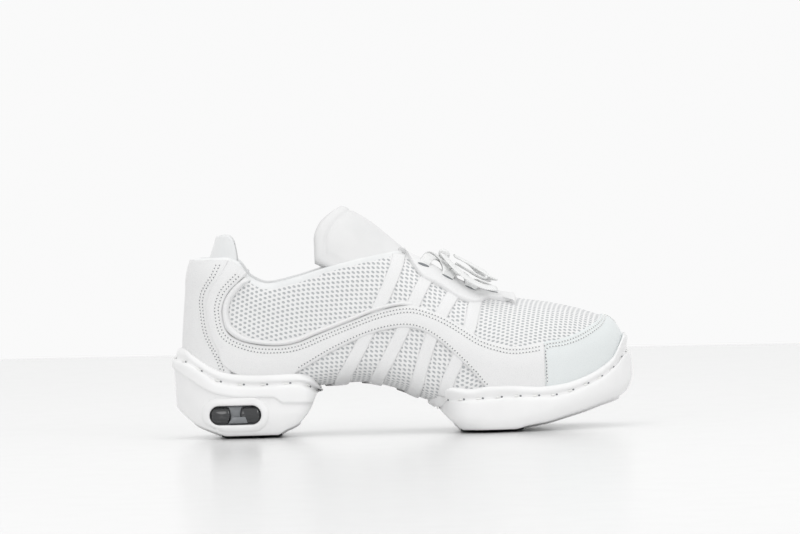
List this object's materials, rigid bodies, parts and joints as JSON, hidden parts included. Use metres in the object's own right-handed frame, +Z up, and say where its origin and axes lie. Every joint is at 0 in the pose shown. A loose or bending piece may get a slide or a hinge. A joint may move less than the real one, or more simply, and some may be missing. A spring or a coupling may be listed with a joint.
{
  "type": "dance sneaker",
  "caption": "Low split-sole dance sneaker for the right foot: hollow mesh upper with leather bands, straps and toe cap, padded tongue, flat laces, two sole units.",
  "frame": {"origin": "middle of the flat spot under the heel unit, on the floor", "axes": "+X towards the toe, +Y towards the shoe's inner side, +Z up"},
  "size_m": [0.269, 0.0986, 0.1336],
  "materials": {
    "mesh": "white spacer mesh",
    "sole": "satin white moulded foam rubber",
    "lining": "brushed white lining",
    "leather": "fine-grained white synthetic leather",
    "lace": "flat woven white lace",
    "capsule": "dark glossy plastic"
  },
  "bodies": {
    "root": {"upper": "mesh", "heel_sole": "sole", "forefoot_sole": "sole", "insole": "lining", "tongue": "mesh", "heel_counter": "leather", "wave_band_outer": "leather", "wave_band_inner": "leather", "piping_outer": "leather", "piping_inner": "leather", "toe_cap": "leather", "eyestay": "leather", "strap_outer_1": "leather", "strap_outer_2": "leather", "strap_outer_3": "leather", "strap_outer_4": "leather", "strap_inner_1": "leather", "strap_inner_2": "leather", "strap_inner_3": "leather", "strap_inner_4": "leather", "heel_tab": "lining", "heel_window": "capsule", "lace_bars": "lace", "lace_knot": "lace", "lace_loop_outer": "lace", "lace_loop_inner": "lace", "lace_end_outer": "lace", "lace_end_inner": "lace"}
  },
  "joints": []
}
